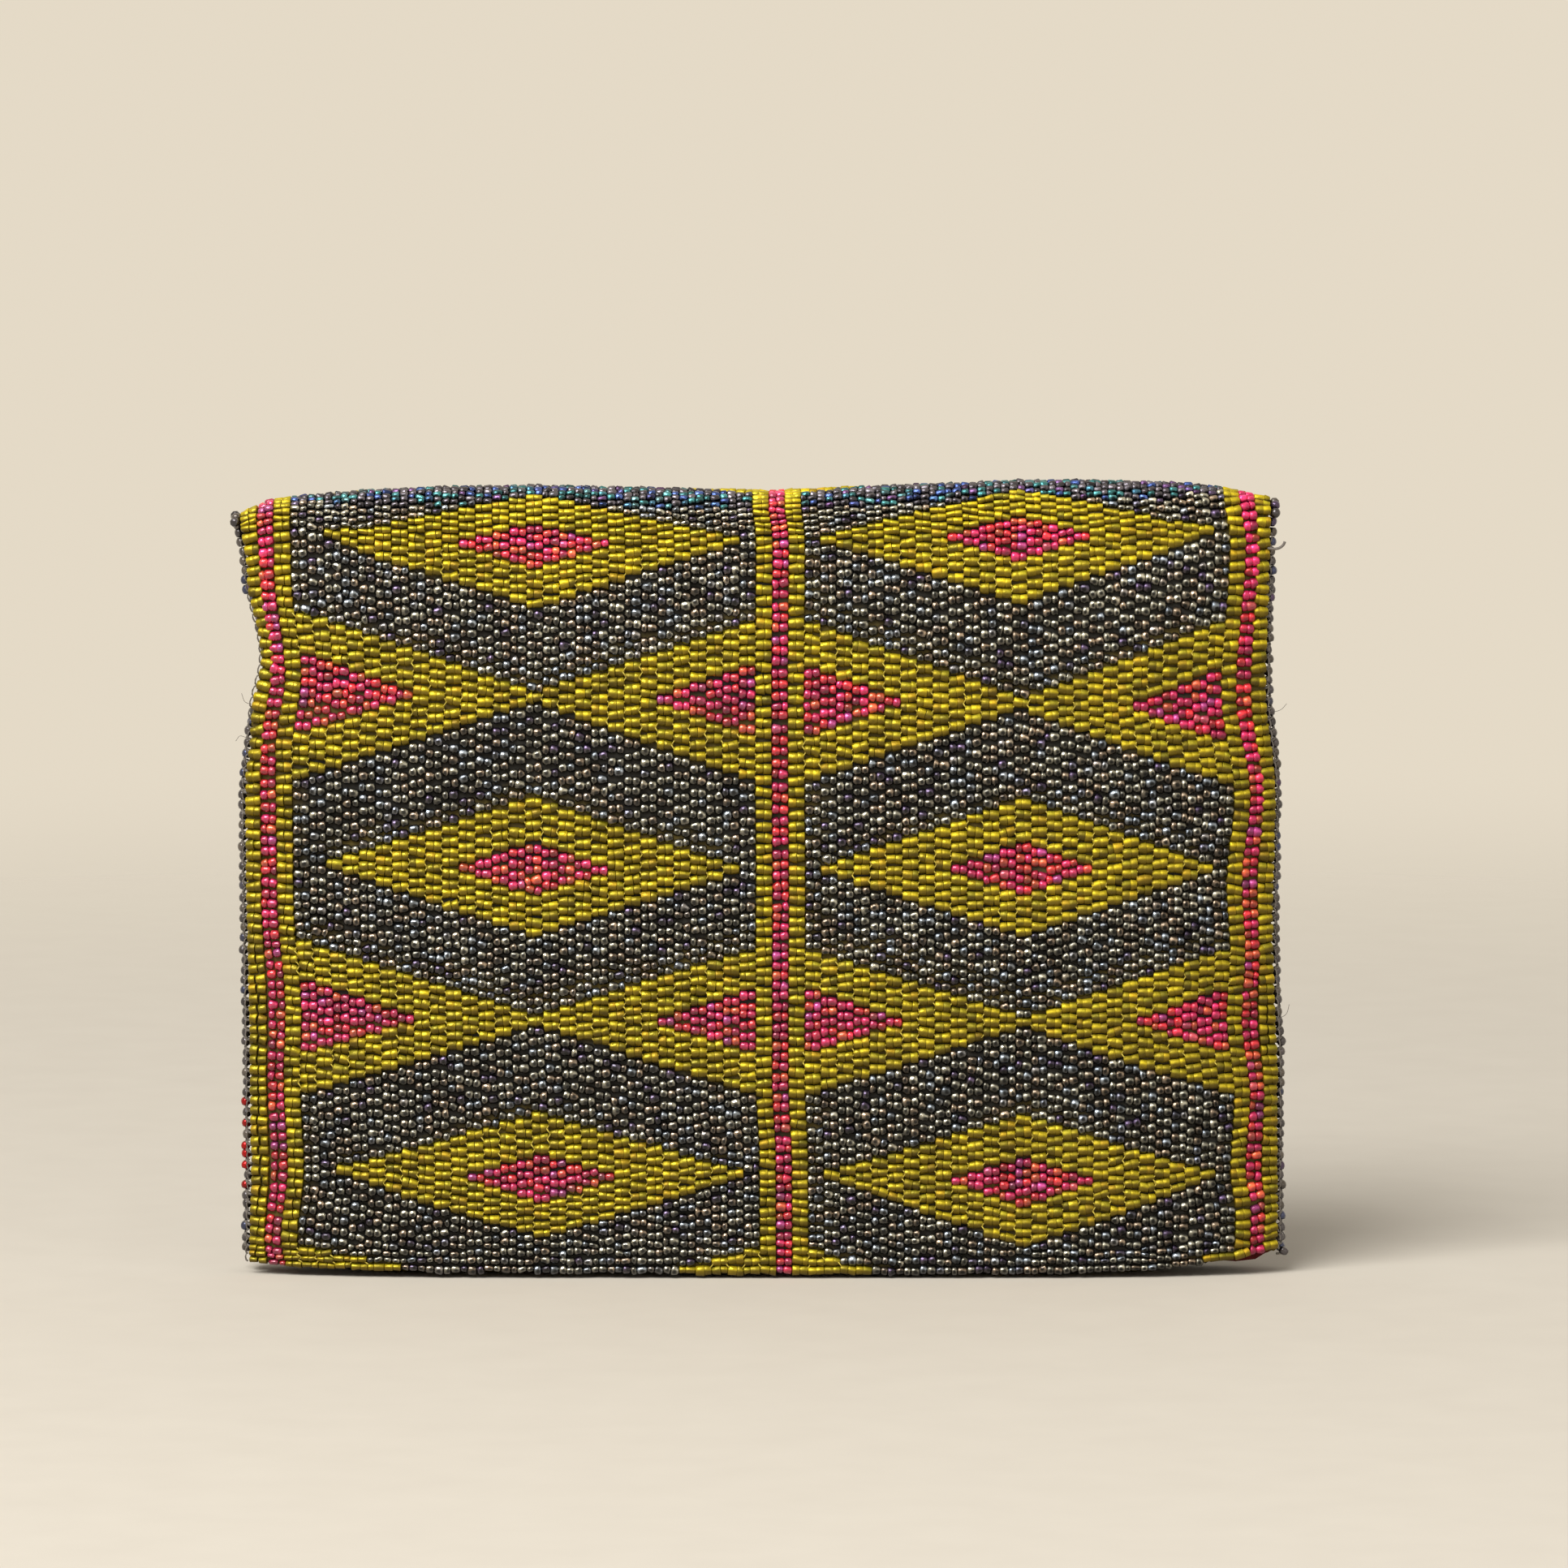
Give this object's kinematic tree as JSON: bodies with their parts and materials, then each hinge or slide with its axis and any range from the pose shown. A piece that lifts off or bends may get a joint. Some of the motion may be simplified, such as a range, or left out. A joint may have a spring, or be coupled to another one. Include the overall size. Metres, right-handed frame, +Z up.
{
  "type": "beaded clutch bag",
  "caption": "Flat envelope clutch of woven glass seed beads with a full front flap in a diamond pattern, picot side seams, cloth lining and a snap.",
  "frame": {"origin": "on the floor under the middle of the bag's box", "axes": "+Z up, X along the bag's width, the flap faces -Y"},
  "size_m": [0.2092, 0.0228, 0.1578],
  "materials": {
    "black_beads": "gunmetal lustre glass",
    "olive_beads": "golden olive lustre glass",
    "pink_beads": "magenta and coral lustre glass",
    "edge_beads": "dark grey violet lustre glass",
    "lining_cloth": "matt woven cotton",
    "snap_metal": "nickel plated"
  },
  "bodies": {
    "pouch": {"pocket_beadwork": "black_beads", "pocket_lining": "lining_cloth", "side_picot_left": "edge_beads", "side_picot_right": "edge_beads", "snap_socket": "snap_metal", "top_roll_beadwork": "black_beads", "top_roll_lining": "lining_cloth"},
    "flap": {"black_chevron_top_left": "black_beads", "black_chevron_top_right": "black_beads", "black_hexagon_bottom_left": "black_beads", "black_hexagon_bottom_right": "black_beads", "black_hexagon_middle_left": "black_beads", "black_hexagon_middle_right": "black_beads", "black_roll_left": "black_beads", "black_roll_right": "black_beads", "flap_lining": "lining_cloth", "olive_chevron_top_left": "olive_beads", "olive_chevron_top_right": "olive_beads", "olive_diamond_bottom_left": "olive_beads", "olive_diamond_bottom_right": "olive_beads", "olive_diamond_middle_left": "olive_beads", "olive_diamond_middle_right": "olive_beads", "olive_edge_left": "olive_beads", "olive_edge_right": "olive_beads", "olive_ground_left": "olive_beads", "olive_ground_right": "olive_beads", "olive_roll_left": "olive_beads", "olive_roll_right": "olive_beads", "pink_lozenge_bottom_left": "pink_beads", "pink_lozenge_bottom_right": "pink_beads", "pink_lozenge_middle_left": "pink_beads", "pink_lozenge_middle_right": "pink_beads", "pink_roll_left": "pink_beads", "pink_roll_right": "pink_beads", "pink_stripe_left": "pink_beads", "pink_stripe_middle": "pink_beads", "pink_stripe_right": "pink_beads", "pink_triangle_lower_left_inner": "pink_beads", "pink_triangle_lower_left_outer": "pink_beads", "pink_triangle_lower_right_inner": "pink_beads", "pink_triangle_lower_right_outer": "pink_beads", "pink_triangle_upper_left_inner": "pink_beads", "pink_triangle_upper_left_outer": "pink_beads", "pink_triangle_upper_right_inner": "pink_beads", "pink_triangle_upper_right_outer": "pink_beads", "pink_wedge_top_left": "pink_beads", "pink_wedge_top_right": "pink_beads", "snap_stud": "snap_metal"}
  },
  "joints": [
    {"name": "flap", "type": "hinge", "parent": "pouch", "child": "flap", "pos_m": [0, 0.002, 0.1608], "axis": [-1, 0, 0], "range_deg": [0, 150]}
  ]
}
